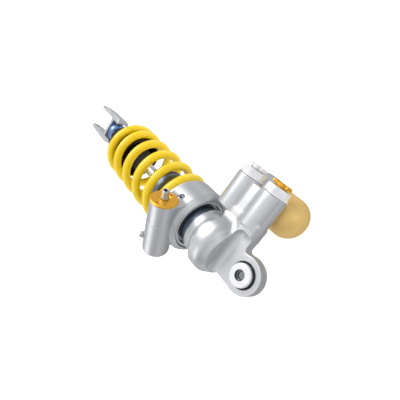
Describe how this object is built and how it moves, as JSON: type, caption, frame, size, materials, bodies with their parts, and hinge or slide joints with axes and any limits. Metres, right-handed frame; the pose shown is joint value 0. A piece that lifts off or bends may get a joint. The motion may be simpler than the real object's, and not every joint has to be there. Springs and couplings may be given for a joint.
{
  "type": "motorcycle rear shock absorber",
  "caption": "Motorcycle rear monoshock with coil spring, piggyback gas reservoir, compression and rebound adjusters, hydraulic preload adjuster, spherical eye and clevis.",
  "frame": {"origin": "centre of the upper eye's bolt bore", "axes": "+X along the shock's axis from the upper eye to the lower clevis, +Z along the upper eye's bolt axis, +Y away from the valve block"},
  "size_m": [0.4002, 0.1478, 0.1293],
  "materials": {
    "casting": "bead-blasted and clear anodised, satin",
    "gold": "gold anodised, satin",
    "blue": "blue anodised, bright",
    "tube": "grey-blue hard anodised, satin",
    "chrome": "hard chrome, polished",
    "steel": "turned bright steel",
    "dark": "black anodised, satin",
    "yellow": "yellow powder coat, gloss",
    "rubber": "black, matt",
    "plastic": "black moulded, satin"
  },
  "bodies": {
    "head": {"head_casting": "casting", "bearing_race": "steel", "circlip_front": "dark", "circlip_rear": "dark", "damper_tube": "tube", "inner_tube": "steel", "seal_head": "dark", "rod_wiper": "rubber", "coil_spring": "yellow", "preload_housing": "casting", "housing_ring": "steel", "preload_cap": "gold", "preload_set_screw": "steel", "bleed_washer": "steel", "bleed_screw": "steel", "compression_cartridge": "steel", "compression_cap": "steel", "rebound_cartridge": "steel", "rebound_cap": "steel", "reservoir_tube": "gold", "gas_fill_screw": "steel"},
    "eye_ball": {"bearing_ball": "chrome"},
    "eye_sleeve": {"spacer_front": "steel", "spacer_rear": "steel"},
    "piston": {"piston": "dark", "piston_band": "plastic", "piston_nut": "steel", "rod_shim_stack": "steel"},
    "rod": {"piston_rod": "chrome", "topout_bush": "plastic", "spring_perch": "dark", "bump_cup": "plastic", "bump_rubber": "rubber", "lock_nut": "steel"},
    "length_nut": {"length_nut": "blue"},
    "clevis": {"clevis": "casting"},
    "separator": {"separating_piston": "dark", "separating_piston_seal": "rubber"},
    "spring_seat": {"spring_seat": "casting", "seat_seal": "rubber"},
    "preload_screw": {"preload_screw": "steel"},
    "preload_piston": {"preload_piston": "steel"},
    "compression_knob": {"compression_knob": "steel"},
    "compression_needle": {"compression_needle": "steel"},
    "rebound_knob": {"rebound_knob": "gold"},
    "rebound_needle": {"rebound_needle": "steel"}
  },
  "joints": [
    {"name": "rod_slide", "type": "slide", "parent": "head", "child": "piston", "axis": [-1, 0, 0], "range_m": [0, 0.05], "stiffness_N_per_m": 95000, "springref_m": -0.008, "deforming": ["coil_spring"]},
    {"name": "rod_turn", "type": "hinge", "parent": "piston", "child": "rod", "pos_m": [0.126, 0, 0], "axis": [1, 0, 0], "continuous": true},
    {"name": "length_nut_turn", "type": "hinge", "parent": "rod", "child": "length_nut", "pos_m": [0.314, 0, 0], "axis": [1, 0, 0], "range_deg": [-722, 722]},
    {"name": "clevis_slide", "type": "slide", "parent": "rod", "child": "clevis", "axis": [1, 0, 0], "range_m": [-0.0025, 0.0025]},
    {"name": "separating_piston_slide", "type": "slide", "parent": "head", "child": "separator", "axis": [-1, 0, 0], "range_m": [0, 0.0069]},
    {"name": "eye_tilt", "type": "hinge", "parent": "head", "child": "eye_ball", "pos_m": [0, 0, 0], "axis": [1, 0, 0], "range_deg": [-6, 6]},
    {"name": "eye_spin", "type": "hinge", "parent": "eye_ball", "child": "eye_sleeve", "pos_m": [0, 0, 0], "axis": [0, 0, 1], "continuous": true},
    {"name": "compression_knob_turn", "type": "hinge", "parent": "head", "child": "compression_knob", "pos_m": [0.062, -0.0877, 0], "axis": [0, -1, 0], "range_deg": [-542, 542]},
    {"name": "compression_needle_slide", "type": "slide", "parent": "head", "child": "compression_needle", "axis": [0, -1, 0], "range_m": [-0.00105, 0.00105]},
    {"name": "rebound_knob_turn", "type": "hinge", "parent": "head", "child": "rebound_knob", "pos_m": [0.028, -0.0877, 0], "axis": [0, -1, 0], "range_deg": [-542, 542]},
    {"name": "rebound_needle_slide", "type": "slide", "parent": "head", "child": "rebound_needle", "axis": [0, -1, 0], "range_m": [-0.00105, 0.00105]},
    {"name": "preload_screw_turn", "type": "hinge", "parent": "head", "child": "preload_screw", "pos_m": [0.0947, -0.00677, 0.05117], "axis": [0, -0.8829, 0.4695], "range_deg": [0, 2165]},
    {"name": "preload_piston_slide", "type": "slide", "parent": "head", "child": "preload_piston", "axis": [0, -0.8829, 0.4695], "range_m": [0, 0.0075]},
    {"name": "spring_seat_slide", "type": "slide", "parent": "head", "child": "spring_seat", "axis": [-1, 0, 0], "range_m": [0, 0.0028]}
  ],
  "couplings": [
    {"joint": "length_nut_turn", "follows": "clevis_slide", "rad_per_m": 5026.5},
    {"joint": "separating_piston_slide", "follows": "rod_slide", "ratio": 0.136},
    {"joint": "compression_knob_turn", "follows": "compression_needle_slide", "rad_per_m": 8976},
    {"joint": "rebound_knob_turn", "follows": "rebound_needle_slide", "rad_per_m": 8976},
    {"joint": "preload_screw_turn", "follows": "preload_piston_slide", "rad_per_m": 5026.5},
    {"joint": "spring_seat_slide", "follows": "preload_piston_slide", "ratio": 0.36933}
  ]
}
